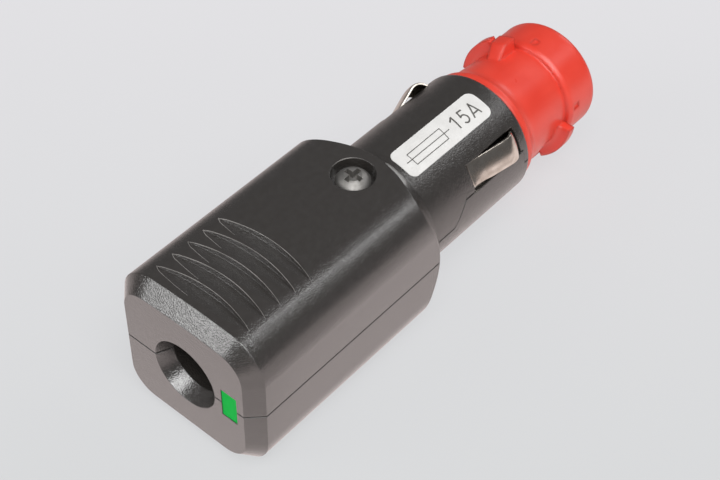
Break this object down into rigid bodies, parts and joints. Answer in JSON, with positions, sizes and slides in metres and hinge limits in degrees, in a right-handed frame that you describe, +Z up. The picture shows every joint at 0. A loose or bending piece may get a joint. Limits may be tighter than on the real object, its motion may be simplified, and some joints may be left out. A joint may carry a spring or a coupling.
{
  "type": "cigarette lighter plug",
  "caption": "Car lighter-socket plug: split black housing with cable entry and lamp, barrel with sprung side contacts, fused spring tip and a red twist-on adapter ring.",
  "frame": {"origin": "on the plug's axis at the shoulder where the barrel leaves the housing", "axes": "+X along the plug's axis towards its tip, +Z up, away from the flat base it lies on, +Y to the left seen from the cable end"},
  "size_m": [0.0862, 0.0262, 0.025],
  "materials": {
    "housing_black": "fine spark-eroded grain",
    "adapter_red": "smooth moulded",
    "nickel_spring": "nickel plated spring strip",
    "nickel_tip": "nickel plated brass",
    "zinc_steel": "zinc plated",
    "terminal_brass": "bright brass",
    "tinned_wire": "tinned",
    "lamp_green": "clear coloured lens",
    "resistor_tan": "lacquered",
    "wire_insulation": "soft insulation",
    "fuse_glass": "clear glass",
    "label_white": "printed film"
  },
  "bodies": {
    "housing": {"upper_housing": "housing_black", "lower_housing": "housing_black", "housing_screw": "zinc_steel", "cable_clamp": "zinc_steel", "left_clamp_screw": "zinc_steel", "right_clamp_screw": "zinc_steel", "indicator_lamp": "lamp_green", "lamp_lead": "tinned_wire", "series_resistor": "resistor_tan", "resistor_lead": "tinned_wire", "jumper_wire": "wire_insulation", "earth_terminal": "terminal_brass", "earth_terminal_screw": "zinc_steel", "earth_strip": "terminal_brass", "live_terminal": "terminal_brass", "live_terminal_screw": "zinc_steel", "live_contact": "terminal_brass", "coil_spring": "nickel_spring", "rating_label": "label_white"},
    "adapter": {"adapter_ring": "adapter_red"},
    "tip": {"tip_contact": "nickel_tip", "fuse_rear_cap": "nickel_tip", "fuse_front_cap": "nickel_tip", "fuse_tube": "fuse_glass", "fuse_wire": "tinned_wire"},
    "left_spring": {"left_contact_spring": "nickel_spring"},
    "right_spring": {"right_contact_spring": "nickel_spring"}
  },
  "joints": [
    {"name": "adapter_twist", "type": "hinge", "parent": "housing", "child": "adapter", "pos_m": [0.032, 0, 0], "axis": [1, 0, 0], "range_deg": [0, 60]},
    {"name": "tip_press", "type": "slide", "parent": "housing", "child": "tip", "axis": [-1, 0, 0], "range_m": [0, 0.002], "stiffness_N_per_m": 800, "springref_m": -0.004, "deforming": ["coil_spring"]},
    {"name": "left_contact_flex", "type": "hinge", "parent": "housing", "child": "left_spring", "pos_m": [0.01075, 0.00779, 0.0045], "axis": [0, 0.5, -0.866], "range_deg": [0, 9], "stiffness_Nm_per_rad": 0.3},
    {"name": "right_contact_flex", "type": "hinge", "parent": "housing", "child": "right_spring", "pos_m": [0.01075, -0.00779, 0.0045], "axis": [0, 0.5, 0.866], "range_deg": [0, 9], "stiffness_Nm_per_rad": 0.3}
  ]
}
